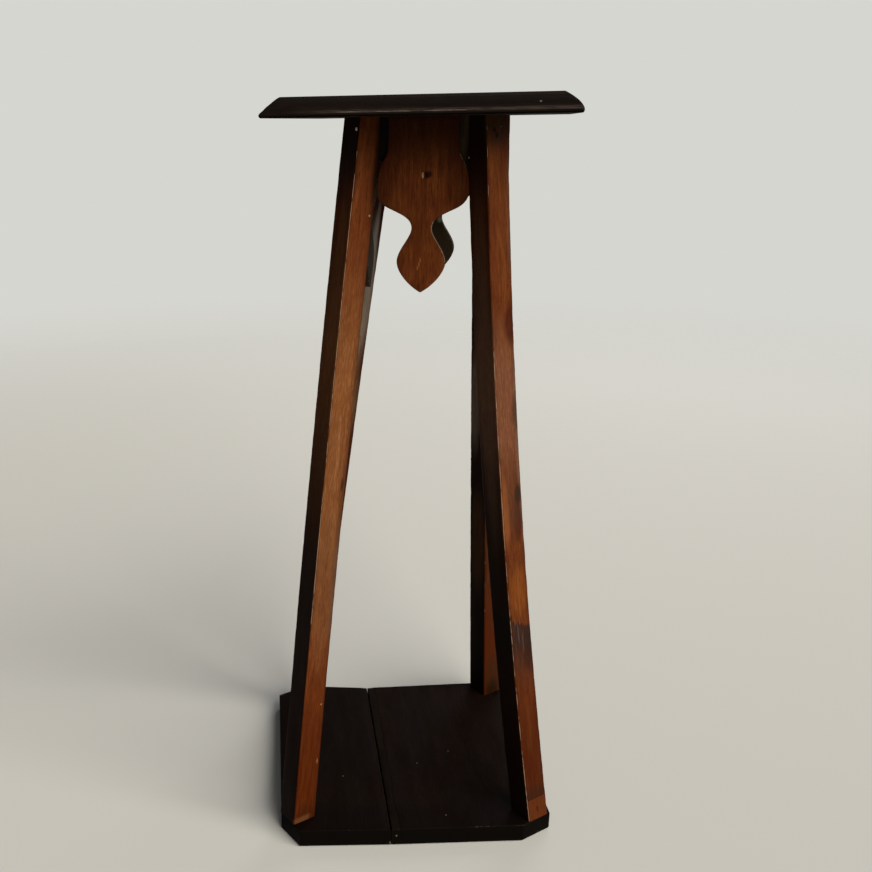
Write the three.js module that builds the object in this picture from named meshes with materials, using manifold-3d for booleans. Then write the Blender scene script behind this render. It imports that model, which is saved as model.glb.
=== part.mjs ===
// Plant stand: a square top with a broad round-over, on four splayed legs that are set corner-on
// and stand on the sawn-off corners of a two-board base. A thin fretted apron hangs between each
// pair of legs, glued to corner blocks behind the heads of the legs.
// Millimetres, +Z up. The origin is the middle of the base's underside, and the front faces -Y.
import * as THREE from 'three';
import { mergeVertices } from 'three/addons/utils/BufferGeometryUtils.js';
import Module from 'manifold-3d';

// Stand as a whole. The old frame has racked: its top has turned against its base, and sways to
// the right and to the back. With turn, sway, lag and the feet's shifts at zero it is square.
const stand_height = 740;
const top_turn_deg = -13.5;
const top_sway = 17;
const top_lag = 5;

// Top board
const top_width = 277;
const top_thickness = 18;
const round_over_width = 16;
const round_over_height = 14.5;
const round_over_bulge_share = 0.42;

// Base of two boards, with an open seam and dowels across it. Its ends are sawn out of square: at
// each end, and at the right side, it runs so far past the square that the legs stand on.
const base_width = 280;
const base_thickness = 20;
const narrow_board_width = 112.5;
const seam_gap = 1;
const base_under_arris = 3;
const overrun_front_left = 9.5;
const overrun_front_seam = 9.5;
const overrun_front_right = 5.5;
const overrun_back_seam = -9.5;
const overrun_right = 2;
const dowel_diameter = 8;
const dowel_length = 50;
const dowel_pitch = 90;

// Legs, and the sideways bow that each has taken at half its height
const leg_section = 27;
const leg_arris = 2;
const leg_head_spread = 114;
const bow_front_left = -2;
const bow_front_right = -8;
const bow_back_left = -2;
const bow_back_right = -1;

// How far the feet stand off the corners of their square, to the right and to the back
const foot_shift_front_left = -1.5;
const foot_shift_back_left = 15.5;
const foot_shift_back_right = 1;
const foot_lag_front_right = -2;
const foot_lag_back_right = 3;

// Aprons. The levels are drops below the underside of the top.
const apron_thickness = 6;
const apron_head_width = 66;
const apron_shoulder_width = 87;
const apron_neck_width = 19.2;
const apron_leaf_width = 46.4;
const apron_straight_drop = 31;
const apron_shoulder_drop = 65;
const apron_neck_drop = 102;
const apron_leaf_drop = 133.5;
const apron_drop = 163;

// Corner blocks behind the heads of the legs, and the plumb seat that is pared for them
const block_height = 40;
const block_thickness = 18;
const block_seat_depth = 4.5;

// Slotted wood screws, and cut nails
const screw_head_diameter = 8;
const screw_head_height = 3;
const screw_shank_diameter = 4;
const screw_tip_length = 6;
const screw_slot_width = 1;
const screw_slot_depth = 1;
const screw_sink = 0.5;
const foot_screw_length = 48;
const block_screw_length = 48;
const nail_head_diameter = 3.2;
const nail_head_height = 0.6;
const nail_shank_diameter = 1.7;
const nail_length = 35;
const nail_drop = 10.5;
const nail_offset_front_left = 9;
const nail_offset_front_right = 3.7;
const nail_offset_back = 4.5;

// Clearances: glue line or running gap round a fitted piece, and overrun of a cutting tool
const fit_gap = 0.3;
const tool_overrun = 2;

// Fineness of the curves
const leg_steps = 10;
const round_sides = 12;
const outline_steps = 9;
const top_sides = 4;
const arris_steps = 2;

// What follows from the driving sizes
const full_turn = Math.PI * 2;
const quarter_turn = full_turn / 4;
const eighth_turn = full_turn / 8;
const top_turn = THREE.MathUtils.degToRad(top_turn_deg);
const base_half = base_width / 2;
const seam_x = -base_half + narrow_board_width + seam_gap / 2;
const top_underside = stand_height - top_thickness;
const leg_length = top_underside - base_thickness;
const leg_half = leg_section / 2;
const leg_head_offset = leg_head_spread / 2;
const leg_head_reach = leg_head_offset * Math.SQRT2;
const leg_foot_offset = base_half - leg_half * Math.SQRT2 * Math.cos(top_turn);
const apron_back_offset = leg_head_offset;
const block_outer = leg_head_reach - leg_half + block_seat_depth;
const block_screw_reach = block_outer - block_thickness / 2;
const block_underside = top_underside - block_height;
const dowel_rows = [-dowel_pitch, 0, dowel_pitch];

// The four corners: the side that each lies on, how far round its diagonal points, and what has
// shifted there
const corners = [
  {
    name: 'front_left',
    side: [-1, -1],
    angle: quarter_turn * 2 + eighth_turn,
    foot_shift: [foot_shift_front_left, 0],
    bow: bow_front_left,
    nail_offset: nail_offset_front_left,
    base_overrun: [0, overrun_front_left],
  },
  {
    name: 'front_right',
    side: [1, -1],
    angle: quarter_turn * 3 + eighth_turn,
    foot_shift: [0, foot_lag_front_right],
    bow: bow_front_right,
    nail_offset: nail_offset_front_right,
    base_overrun: [overrun_right, overrun_front_right],
  },
  {
    name: 'back_left',
    side: [-1, 1],
    angle: quarter_turn + eighth_turn,
    foot_shift: [foot_shift_back_left, 0],
    bow: bow_back_left,
    nail_offset: nail_offset_back,
    base_overrun: [0, 0],
  },
  {
    name: 'back_right',
    side: [1, 1],
    angle: eighth_turn,
    foot_shift: [foot_shift_back_right, foot_lag_back_right],
    bow: bow_back_right,
    nail_offset: nail_offset_back,
    base_overrun: [overrun_right, 0],
  },
];
const apron_sides = [
  { name: 'apron_front', angle: 0 },
  { name: 'apron_right', angle: quarter_turn },
  { name: 'apron_back', angle: quarter_turn * 2 },
  { name: 'apron_left', angle: quarter_turn * 3 },
];

const mahogany = { color: 0x6e3a1e, roughness: 0.45, metalness: 0 };
const dark_mahogany = { color: 0x2e1712, roughness: 0.35, metalness: 0 };
const pine = { color: 0x8a6a44, roughness: 0.8, metalness: 0 };
const beech = { color: 0xc29a66, roughness: 0.7, metalness: 0 };
const old_steel = { color: 0x6f6c68, roughness: 0.5, metalness: 1 };

const wasm = await Module();
wasm.setup();

// A closed geometry as a solid that can be joined and cut
function toSolid(geometry) {
  const bare = geometry.clone();
  bare.deleteAttribute('normal');
  bare.deleteAttribute('uv');
  const merged = mergeVertices(bare);
  const corner = merged.index.array;
  const faces = [];
  for (let i = 0; i < corner.length; i += 3) {
    const [a, b, c] = [corner[i], corner[i + 1], corner[i + 2]];
    if (a !== b && b !== c && c !== a) faces.push(a, b, c);
  }
  const mesh = new wasm.Mesh({
    numProp: 3,
    vertProperties: new Float32Array(merged.attributes.position.array),
    triVerts: new Uint32Array(faces),
  });
  return new wasm.Manifold(mesh);
}

// A solid back as a geometry
function toGeometry(solid) {
  const mesh = solid.getMesh();
  const geometry = new THREE.BufferGeometry();
  geometry.setAttribute('position', new THREE.BufferAttribute(mesh.vertProperties, 3));
  geometry.setIndex(new THREE.BufferAttribute(mesh.triVerts, 1));
  geometry.computeVertexNormals();
  return geometry;
}

// One geometry with each of the cutters taken out of it
function cut(geometry, cutters) {
  let solid = toSolid(geometry);
  for (const cutter of cutters) solid = solid.subtract(toSolid(cutter));
  return toGeometry(solid);
}

// A round turned piece along +Z, from a profile of [radius, height] pairs
function turned(profile) {
  const points = profile.map(([radius, height]) => new THREE.Vector2(radius, height));
  return new THREE.LatheGeometry(points, round_sides).rotateX(quarter_turn);
}

function makeMesh(name, geometry, finish) {
  const mesh = new THREE.Mesh(geometry, new THREE.MeshStandardMaterial(finish));
  mesh.name = name;
  return mesh;
}

// The head frame turns and sways with the top. Aprons, blocks and the top board lie square in it.
const head_frame = new THREE.Group();
head_frame.position.set(top_sway, top_lag, 0);
head_frame.rotation.z = top_turn;
head_frame.updateMatrix();

// In a corner frame +X looks outwards along a diagonal, square to the leg's outer face.
function cornerMatrix(corner) {
  const turn = new THREE.Matrix4().makeRotationZ(corner.angle);
  return head_frame.matrix.clone().multiply(turn);
}

// The middle of a leg at a share of its height, 0 at the foot and 1 at the head
function legMiddle(corner, share) {
  const [x, y] = corner.side;
  const [shift, lag] = corner.foot_shift;
  const foot = new THREE.Vector3(x * leg_foot_offset + shift, y * leg_foot_offset + lag, base_thickness);
  const head = new THREE.Vector3(x * leg_head_offset, y * leg_head_offset, top_underside);
  head.applyMatrix4(head_frame.matrix);
  const middle = foot.lerp(head, share);
  middle.x += corner.bow * 4 * share * (1 - share);
  return middle;
}

// A square leg with softened arrises, sawn level at both ends, leaning in and bowed.
// A swell makes the larger tool that scribes a neighbour to the leg.
function legBlank(corner, swell) {
  const half = leg_half + swell;
  const inner = half - leg_arris;
  const outline = new THREE.Shape();
  outline.absarc(inner, inner, leg_arris, 0, quarter_turn);
  outline.absarc(-inner, inner, leg_arris, quarter_turn, quarter_turn * 2);
  outline.absarc(-inner, -inner, leg_arris, quarter_turn * 2, quarter_turn * 3);
  outline.absarc(inner, -inner, leg_arris, quarter_turn * 3, full_turn);
  const options = { depth: leg_length, steps: leg_steps, bevelEnabled: false, curveSegments: arris_steps };
  const blank = new THREE.ExtrudeGeometry(outline, options);
  blank.rotateZ(top_turn + eighth_turn);
  const place = blank.attributes.position;
  for (let i = 0; i < place.count; i += 1) {
    const middle = legMiddle(corner, place.getZ(i) / leg_length);
    place.setXYZ(i, place.getX(i) + middle.x, place.getY(i) + middle.y, place.getZ(i) + base_thickness);
  }
  return blank;
}

// A countersunk wood screw that points up, with its head's flat face at height 0
function screwProfile(length, swell) {
  const shank = screw_shank_diameter / 2 + swell;
  const head = screw_head_diameter / 2 + swell;
  return [
    [0, -swell],
    [head, -swell],
    [head, swell],
    [shank, screw_head_height + swell],
    [shank, length - screw_tip_length + swell],
    [0, length + swell],
  ];
}

function screw(length) {
  const slot_length = screw_head_diameter + tool_overrun;
  const slot = new THREE.BoxGeometry(slot_length, screw_slot_width, screw_slot_depth * 2);
  return cut(turned(screwProfile(length, 0)), [slot]);
}

// The hole for a screw in a face at height 0: the screw's own shape with a clearance, sunk as
// deep as the screw and run out through the face
function screwHole(length) {
  const profile = screwProfile(length, fit_gap);
  profile[0][1] = -tool_overrun;
  profile[1][1] = -tool_overrun;
  return turned(profile).translate(0, 0, screw_sink);
}

// A nail along -X from the outer face of its leg, in that corner's frame
function nailShape(length, swell, head_run_out) {
  const shank = nail_shank_diameter / 2 + swell;
  const head = nail_head_diameter / 2 + swell;
  const profile = [
    [0, -head_run_out],
    [head, -head_run_out],
    [head, nail_head_height + swell],
    [shank, nail_head_height + swell],
    [shank, length + swell - nail_shank_diameter],
    [0, length + swell],
  ];
  return turned(profile).rotateY(-quarter_turn);
}

// Where a nail's head lies in its corner's frame
function nailPlace(corner) {
  const share = (leg_length - nail_drop) / leg_length;
  const to_corner = cornerMatrix(corner).invert();
  const middle = legMiddle(corner, share).applyMatrix4(to_corner);
  return new THREE.Vector3(middle.x + leg_half, middle.y + corner.nail_offset, top_underside - nail_drop);
}

function nailIn(corner, swell, head_run_out) {
  const place = nailPlace(corner);
  return nailShape(nail_length, swell, head_run_out).translate(place.x, place.y, place.z);
}

function leg(corner) {
  const blank = legBlank(corner, 0);
  const frame = cornerMatrix(corner);
  const seat_height = block_height + fit_gap + tool_overrun;
  const seat = new THREE.BoxGeometry(leg_section, leg_section * 2, seat_height);
  const seat_middle = top_underside + tool_overrun - seat_height / 2;
  seat.translate(block_outer - leg_half, 0, seat_middle).applyMatrix4(frame);
  const nail_hole = nailIn(corner, fit_gap, tool_overrun).applyMatrix4(frame);
  const foot = legMiddle(corner, 0);
  const screw_hole = screwHole(foot_screw_length).translate(foot.x, foot.y, 0);
  return cut(blank, [seat, nail_hole, screw_hole]);
}

// Where a straight side of the base, from one point to another, meets the sawn corner that is
// flush with a leg's outer face
function sawnPoint(corner, from, to) {
  const foot = legMiddle(corner, 0);
  const out = new THREE.Vector2(Math.cos(corner.angle + top_turn), Math.sin(corner.angle + top_turn));
  const reach = out.dot(new THREE.Vector2(foot.x, foot.y)) + leg_half;
  const share = (reach - out.dot(from)) / (out.dot(to) - out.dot(from));
  return from.clone().lerp(to, share);
}

// The base's corner before it is sawn off
function fullCorner(corner) {
  const [x, y] = corner.side;
  const [past_side, past_end] = corner.base_overrun;
  return new THREE.Vector2(x * (base_half + past_side), y * (base_half + past_end));
}

// One board of the base, between the seam and two sawn corners. It is planed flat on top, and the
// edges of its underside are rounded.
function baseBoard(front, back) {
  const seam = seam_x + front.side[0] * seam_gap / 2;
  const seam_front = new THREE.Vector2(seam, -base_half - overrun_front_seam);
  const seam_back = new THREE.Vector2(seam, base_half + overrun_back_seam);
  const front_corner = fullCorner(front);
  const back_corner = fullCorner(back);
  const outline = new THREE.Shape([
    seam_front,
    sawnPoint(front, seam_front, front_corner),
    sawnPoint(front, back_corner, front_corner),
    sawnPoint(back, front_corner, back_corner),
    sawnPoint(back, seam_back, back_corner),
    seam_back,
  ]);
  const options = {
    depth: base_thickness,
    bevelEnabled: true,
    bevelThickness: base_under_arris,
    bevelSize: base_under_arris,
    bevelOffset: -base_under_arris,
    bevelSegments: arris_steps,
  };
  const blank = new THREE.ExtrudeGeometry(outline, options).translate(0, 0, base_under_arris);
  const waste = new THREE.BoxGeometry(base_width * 2, base_width * 2, base_thickness);
  waste.translate(0, 0, base_thickness * 3 / 2);
  const holes = dowel_rows.map((row) => dowel(row, fit_gap));
  for (const corner of [front, back]) {
    const foot = legMiddle(corner, 0);
    holes.push(screwHole(foot_screw_length).translate(foot.x, foot.y, 0));
  }
  return cut(blank, [waste, ...holes]);
}

// A dowel across the seam, at half the thickness of the base
function dowel(row, swell) {
  const radius = dowel_diameter / 2 + swell;
  const length = dowel_length + swell * 2;
  const pin = new THREE.CylinderGeometry(radius, radius, length, round_sides);
  return pin.rotateZ(quarter_turn).translate(seam_x, row, base_thickness / 2);
}

// The top: a four-sided turning, so that the round-over meets in mitres at the corners
function topBoard() {
  const half = top_width / 2;
  const band = top_thickness - round_over_height;
  const start = new THREE.Vector2(half, band);
  const crown = new THREE.Vector2(half - round_over_width, top_thickness);
  const bulge = new THREE.Vector2(half, band + round_over_height * round_over_bulge_share);
  const curve = new THREE.QuadraticBezierCurve(start, bulge, crown);
  const profile = [new THREE.Vector2(0, 0), new THREE.Vector2(half, 0)];
  profile.push(...curve.getPoints(outline_steps), new THREE.Vector2(0, top_thickness));
  for (const point of profile) point.x *= Math.SQRT2;
  const blank = new THREE.LatheGeometry(profile, top_sides, eighth_turn).rotateX(quarter_turn);
  const holes = corners.map((corner) => {
    const hole = screwHole(block_screw_length);
    hole.translate(block_screw_reach, 0, block_underside - top_underside);
    return hole.rotateZ(corner.angle);
  });
  return cut(blank, holes);
}

// Half of the apron's outline, from its top edge down to the tip of the leaf. Each curve has two
// handles, given as shares of the way across and down between its ends.
function apronSide() {
  const head = new THREE.Vector2(apron_head_width / 2, -apron_straight_drop);
  const shoulder = new THREE.Vector2(apron_shoulder_width / 2, -apron_shoulder_drop);
  const neck = new THREE.Vector2(apron_neck_width / 2, -apron_neck_drop);
  const leaf = new THREE.Vector2(apron_leaf_width / 2, -apron_leaf_drop);
  const tip = new THREE.Vector2(0, -apron_drop);
  const under_shares = [0.4, 0.52];
  const under = new THREE.Vector2(
    shoulder.x + (neck.x - shoulder.x) * under_shares[0],
    shoulder.y + (neck.y - shoulder.y) * under_shares[1],
  );
  const spans = [
    { from: head, to: shoulder, shares: [0.1, 0.15, 0.9, 0.35] },
    { from: shoulder, to: under, shares: [0, 0.53, 0.33, 0.79] },
    { from: under, to: neck, shares: [0.59, 0.31, 1, 0.51] },
    { from: neck, to: leaf, shares: [0, 0.27, 1, 0.65] },
    { from: leaf, to: tip, shares: [0, 0.39, 0.61, 0.85] },
  ];
  const side = [new THREE.Vector2(apron_head_width / 2, 0), head];
  for (const { from, to, shares } of spans) {
    const width = to.x - from.x;
    const fall = to.y - from.y;
    const first = new THREE.Vector2(from.x + width * shares[0], from.y + fall * shares[1]);
    const second = new THREE.Vector2(from.x + width * shares[2], from.y + fall * shares[3]);
    const curve = new THREE.CubicBezierCurve(from, first, second, to);
    side.push(...curve.getPoints(outline_steps).slice(1));
  }
  return side;
}

// A fretted apron, hung from the underside of the top and scribed to the legs beside it
function apron(angle) {
  const right = apronSide();
  const left = right.slice(0, -1).reverse().map((point) => new THREE.Vector2(-point.x, point.y));
  const outline = new THREE.Shape([...right, ...left]);
  const board = new THREE.ExtrudeGeometry(outline, { depth: apron_thickness, bevelEnabled: false });
  board.rotateX(quarter_turn).translate(0, -apron_back_offset, top_underside);
  const to_apron = head_frame.matrix.clone().multiply(new THREE.Matrix4().makeRotationZ(angle)).invert();
  const legs = corners.map((corner) => legBlank(corner, fit_gap).applyMatrix4(to_apron));
  return cut(board, legs);
}

// A glue block in its corner's frame: its blunt end on the leg, its flanks on two aprons
function cornerBlock(corner) {
  const outer = block_outer - fit_gap;
  const inner = block_outer - block_thickness;
  const flank = (apron_back_offset - fit_gap) * Math.SQRT2;
  const outline = new THREE.Shape([
    new THREE.Vector2(outer, -(flank - outer)),
    new THREE.Vector2(outer, flank - outer),
    new THREE.Vector2(inner, flank - inner),
    new THREE.Vector2(inner, -(flank - inner)),
  ]);
  const block = new THREE.ExtrudeGeometry(outline, { depth: block_height, bevelEnabled: false });
  block.translate(0, 0, block_underside);
  const screw_hole = screwHole(block_screw_length);
  screw_hole.translate(block_screw_reach, 0, block_underside);
  return cut(block, [screw_hole, nailIn(corner, fit_gap, 0)]);
}

const stand = new THREE.Group();
stand.add(head_frame);

const top_board = makeMesh('top_board', topBoard(), dark_mahogany);
top_board.position.z = top_underside;
head_frame.add(top_board);

for (const { name, angle } of apron_sides) {
  const board = makeMesh(name, apron(angle), mahogany);
  board.rotation.z = angle;
  head_frame.add(board);
}

const [front_left, front_right, back_left, back_right] = corners;
stand.add(makeMesh('base_board_narrow', baseBoard(front_left, back_left), dark_mahogany));
stand.add(makeMesh('base_board_wide', baseBoard(front_right, back_right), dark_mahogany));
dowel_rows.forEach((row, i) => {
  stand.add(makeMesh(`base_dowel_${i + 1}`, dowel(row, 0), beech));
});

for (const corner of corners) {
  const { name } = corner;
  stand.add(makeMesh(`leg_${name}`, leg(corner), mahogany));

  const foot_screw = makeMesh(`foot_screw_${name}`, screw(foot_screw_length), old_steel);
  foot_screw.position.copy(legMiddle(corner, 0)).setZ(screw_sink);
  stand.add(foot_screw);

  const corner_frame = new THREE.Group();
  corner_frame.rotation.z = corner.angle;
  head_frame.add(corner_frame);
  corner_frame.add(makeMesh(`corner_block_${name}`, cornerBlock(corner), pine));
  corner_frame.add(makeMesh(`leg_nail_${name}`, nailIn(corner, 0, 0), old_steel));
  const block_screw = makeMesh(`block_screw_${name}`, screw(block_screw_length), old_steel);
  block_screw.position.set(block_screw_reach, 0, block_underside + screw_sink);
  corner_frame.add(block_screw);
}

export default stand;
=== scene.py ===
# Plant stand in old mahogany: round-over top, four bowed legs set corner-on, fretted aprons,
# and a base of two boards. Metres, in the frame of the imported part, which faces -Y.
import math

import bmesh
import bpy
from mathutils import Matrix, Vector, geometry, noise


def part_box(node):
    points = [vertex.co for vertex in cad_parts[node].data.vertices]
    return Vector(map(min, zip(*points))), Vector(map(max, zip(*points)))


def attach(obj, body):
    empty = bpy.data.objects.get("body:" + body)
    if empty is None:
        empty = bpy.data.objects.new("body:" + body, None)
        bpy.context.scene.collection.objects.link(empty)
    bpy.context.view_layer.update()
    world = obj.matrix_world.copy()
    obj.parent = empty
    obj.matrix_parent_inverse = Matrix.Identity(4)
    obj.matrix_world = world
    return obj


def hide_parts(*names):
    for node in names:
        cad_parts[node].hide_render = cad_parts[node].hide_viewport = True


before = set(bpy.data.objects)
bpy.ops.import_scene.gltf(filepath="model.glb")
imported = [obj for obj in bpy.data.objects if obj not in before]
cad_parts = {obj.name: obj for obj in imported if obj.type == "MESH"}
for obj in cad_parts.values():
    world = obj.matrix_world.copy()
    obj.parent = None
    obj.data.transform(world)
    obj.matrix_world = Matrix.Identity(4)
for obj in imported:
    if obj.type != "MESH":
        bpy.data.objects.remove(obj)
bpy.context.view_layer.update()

# Sizes that the frame gives
MM = 0.001
top_low, top_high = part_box("top_board")
narrow_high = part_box("base_board_narrow")[1]
wide_low, wide_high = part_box("base_board_wide")
top_underside = top_low.z
top_surface = top_high.z
base_thickness = wide_high.z
leg_length = top_underside - base_thickness
top_middle = (top_low + top_high) / 2

# Sizes of the pieces, as they are made
top_turn = math.radians(-13.5)
top_width = (top_high.x - top_low.x) / (math.cos(top_turn) + abs(math.sin(top_turn)))
round_over_width = 16 * MM
round_over_height = 15.6 * MM
round_over_bulge_share = 0.44
base_half = 140 * MM
base_under_arris = 3 * MM
overrun_front_seam = 9.5 * MM
overrun_back_seam = -9.5 * MM
leg_section = 27 * MM
leg_half = leg_section / 2
leg_arris = 2 * MM
leg_head_offset = 57 * MM
apron_thickness = 6 * MM
apron_head_width = 66 * MM
apron_shoulder_width = 87 * MM
apron_neck_width = 19.2 * MM
apron_leaf_width = 46.4 * MM
apron_straight_drop = 31 * MM
apron_shoulder_drop = 65 * MM
apron_neck_drop = 102 * MM
apron_leaf_drop = 133.5 * MM
apron_drop = 163 * MM
block_height = 40 * MM
block_thickness = 18 * MM
block_seat_depth = 4.5 * MM
fit_gap = 0.3 * MM
tool_overrun = 2 * MM

# Places that follow from them
quarter_turn = math.pi / 2
eighth_turn = math.pi / 4
block_outer = leg_head_offset * math.sqrt(2) - leg_half + block_seat_depth
block_screw_reach = block_outer - block_thickness / 2
block_underside = top_underside - block_height
leg_foot_offset = base_half - leg_half * math.sqrt(2) * math.cos(top_turn)
head_frame = Matrix.Translation((top_middle.x, top_middle.y, 0)) @ Matrix.Rotation(top_turn, 4, "Z")

# The corners: side of the stand, direction of the diagonal, how far the foot stands off its square
# to the right and to the back, the leg's bow, how far the base runs past that square, and the
# stretch of the leg's height, in shares, over which its foremost arris is rubbed
CORNERS = {
    "front_left": {
        "side": (-1, -1), "angle": quarter_turn * 2 + eighth_turn, "foot_shift": (-1.5 * MM, 0),
        "bow": -2 * MM, "nail_offset": 9 * MM, "base_overrun": (0, 9.5 * MM), "rubbed": (0.3, 0.96),
    },
    "front_right": {
        "side": (1, -1), "angle": quarter_turn * 3 + eighth_turn, "foot_shift": (0, -2 * MM),
        "bow": -8 * MM, "nail_offset": 3.7 * MM, "base_overrun": (2 * MM, 5.5 * MM),
        "rubbed": (0, 0.7),
    },
    "back_left": {
        "side": (-1, 1), "angle": quarter_turn + eighth_turn, "foot_shift": (15.5 * MM, 0),
        "bow": -2 * MM, "nail_offset": 4.5 * MM, "base_overrun": (0, 0), "rubbed": (0.1, 0.6),
    },
    "back_right": {
        "side": (1, 1), "angle": eighth_turn, "foot_shift": (2 * MM, 3 * MM),
        "bow": -1 * MM, "nail_offset": 4.5 * MM, "base_overrun": (2 * MM, 0), "rubbed": (0, 0),
    },
}
APRONS = {
    "apron_front": 0,
    "apron_right": quarter_turn,
    "apron_back": quarter_turn * 2,
    "apron_left": quarter_turn * 3,
}


def corner_frame(corner):
    """+X looks outwards along the corner's diagonal, square to the leg's outer face."""
    return head_frame @ Matrix.Rotation(corner["angle"], 4, "Z")


def leg_middle(corner, share):
    """The middle of a leg at a share of its height, 0 at the foot and 1 at the head."""
    x, y = corner["side"]
    shift, lag = corner["foot_shift"]
    foot = Vector((x * leg_foot_offset + shift, y * leg_foot_offset + lag, base_thickness))
    head = head_frame @ Vector((x * leg_head_offset, y * leg_head_offset, top_underside))
    middle = foot.lerp(head, share)
    middle.x += corner["bow"] * 4 * share * (1 - share)
    return middle


# Mesh tools


def finish_mesh(bm, name):
    bmesh.ops.remove_doubles(bm, verts=bm.verts, dist=0.002 * MM)
    bmesh.ops.recalc_face_normals(bm, faces=bm.faces)
    mesh = bpy.data.meshes.new(name)
    bm.to_mesh(mesh)
    bm.free()
    return mesh


def place_object(name, mesh):
    piece = bpy.data.objects.new(name, mesh)
    bpy.context.scene.collection.objects.link(piece)
    return piece


def carve(mesh, cutters):
    """The mesh with each of the closed cutter meshes taken out of it."""
    piece = place_object("carved", mesh)
    tools = [place_object("tool", cutter) for cutter in cutters]
    for tool in tools:
        cut = piece.modifiers.new("cut", "BOOLEAN")
        cut.operation = "DIFFERENCE"
        cut.solver = "EXACT"
        cut.object = tool
    bpy.context.view_layer.update()
    evaluated = piece.evaluated_get(bpy.context.evaluated_depsgraph_get())
    carved = bpy.data.meshes.new_from_object(evaluated)
    for made in [piece, *tools]:
        bpy.data.objects.remove(made)
    return carved


def shade(mesh, angle_deg=28):
    """Rounded stretches are shaded smooth, and edges sharper than the angle stay crisp."""
    mesh.polygons.foreach_set("use_smooth", [True] * len(mesh.polygons))
    mesh.set_sharp_from_angle(angle=math.radians(angle_deg))
    mesh.update()


def add_piece(node, made, mesh, material):
    """The visible piece that stands for a CAD node, named for the node and for how it is made."""
    mesh.materials.clear()
    mesh.materials.append(material)
    shade(mesh)
    piece = place_object(f"{node}_{made}", mesh)
    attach(piece, "root")
    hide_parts(node)

def turned(profile, steps):
    """A closed turning about Z, from [radius, height] pairs that start and end on the axis."""
    bm = bmesh.new()
    points = [bm.verts.new((radius, 0, height)) for radius, height in profile]
    outline = [bm.edges.new(pair) for pair in zip(points, points[1:])]
    bmesh.ops.spin(
        bm, geom=points + outline, cent=(0, 0, 0), axis=(0, 0, 1), angle=math.tau,
        steps=steps, use_merge=True, use_duplicate=False,
    )
    return bm


def bevel(bm, edges, width, segments):
    bmesh.ops.bevel(
        bm, geom=edges, offset=width, offset_type="OFFSET", segments=segments, profile=0.5,
        affect="EDGES", material=-1,
    )


def slice_up(bm, axis, distances):
    """Cuts the faces square to an axis at each distance, so that they can follow a curve."""
    for distance in distances:
        geom = list(bm.verts) + list(bm.edges) + list(bm.faces)
        bmesh.ops.bisect_plane(bm, geom=geom, plane_co=Vector(axis) * distance, plane_no=axis)


def thicken(bm, shift):
    """Grows a flat face into a board."""
    grown = bmesh.ops.extrude_face_region(bm, geom=list(bm.faces))
    far = [v for v in grown["geom"] if isinstance(v, bmesh.types.BMVert)]
    bmesh.ops.translate(bm, vec=shift, verts=far)
    bmesh.ops.recalc_face_normals(bm, faces=bm.faces)


def box(sizes):
    bm = bmesh.new()
    bmesh.ops.create_cube(bm, size=1)
    bmesh.ops.scale(bm, vec=sizes, verts=bm.verts)
    return bm


def rise(edge):
    return abs(edge.verts[0].co.z - edge.verts[1].co.z)


def moved(bm, matrix, name):
    bmesh.ops.transform(bm, matrix=matrix, verts=bm.verts)
    return finish_mesh(bm, name)


def wear_layer(bm):
    return bm.verts.layers.float.get("wear") or bm.verts.layers.float.new("wear")


def ramp(low, high, value):
    """0 at low, 1 at high, and smooth in between. Low may be above high."""
    share = min(max((value - low) / (high - low), 0), 1)
    return share * share * (3 - 2 * share)


# Fasteners

SCREW = {
    "head": 4 * MM, "head_height": 3 * MM, "shank": 2 * MM, "tip": 6 * MM, "sink": 0.5 * MM,
    "slot_width": 1 * MM, "slot_depth": 1 * MM, "length": 48 * MM,
}
NAIL = {
    "head": 1.6 * MM, "head_height": 0.6 * MM, "shank": 0.85 * MM, "length": 35 * MM,
    "drop": 10.5 * MM,
}
ROUND_STEPS = 32


def screw_profile(swell):
    shank = SCREW["shank"] + swell
    head = SCREW["head"] + swell
    return [
        (0, -swell),
        (head, -swell),
        (head, swell),
        (shank, SCREW["head_height"] + swell),
        (shank, SCREW["length"] - SCREW["tip"] + swell),
        (0, SCREW["length"] + swell),
    ]


def screw_hole(matrix):
    profile = screw_profile(fit_gap)
    profile[0] = (0, -tool_overrun)
    profile[1] = (profile[1][0], -tool_overrun)
    sunk = Matrix.Translation((0, 0, SCREW["sink"]))
    return moved(turned(profile, ROUND_STEPS), matrix @ sunk, "screw_hole")


def screw_mesh(matrix, slot_angle):
    body = finish_mesh(turned(screw_profile(0), ROUND_STEPS), "screw")
    saw = box((SCREW["head"] * 3, SCREW["slot_width"], SCREW["slot_depth"] * 2))
    slot = moved(saw, Matrix.Rotation(slot_angle, 4, "Z"), "slot")
    carved = carve(body, [slot])
    carved.transform(matrix @ Matrix.Translation((0, 0, SCREW["sink"])))
    return carved


def nail_matrix(corner):
    """The nail's axis is +Z of this frame, and its head's flat side is at height 0."""
    share = (leg_length - NAIL["drop"]) / leg_length
    matrix = corner_frame(corner)
    middle = matrix.inverted() @ leg_middle(corner, share)
    across = middle.y + corner["nail_offset"]
    place = Vector((middle.x + leg_half, across, top_underside - NAIL["drop"]))
    return matrix @ Matrix.Translation(place) @ Matrix.Rotation(-quarter_turn, 4, "Y")


def nail_profile(swell, dome):
    shank = NAIL["shank"] + swell
    head = NAIL["head"] + swell
    rim = [(0, -dome)]
    if swell == 0:
        rim.append((head * 0.6, -dome * 0.7))
    return rim + [
        (head, -dome * 0.2),
        (head, NAIL["head_height"] + swell),
        (shank, NAIL["head_height"] + swell),
        (shank, NAIL["length"] + swell - NAIL["shank"] * 2),
        (0, NAIL["length"] + swell),
    ]


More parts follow.
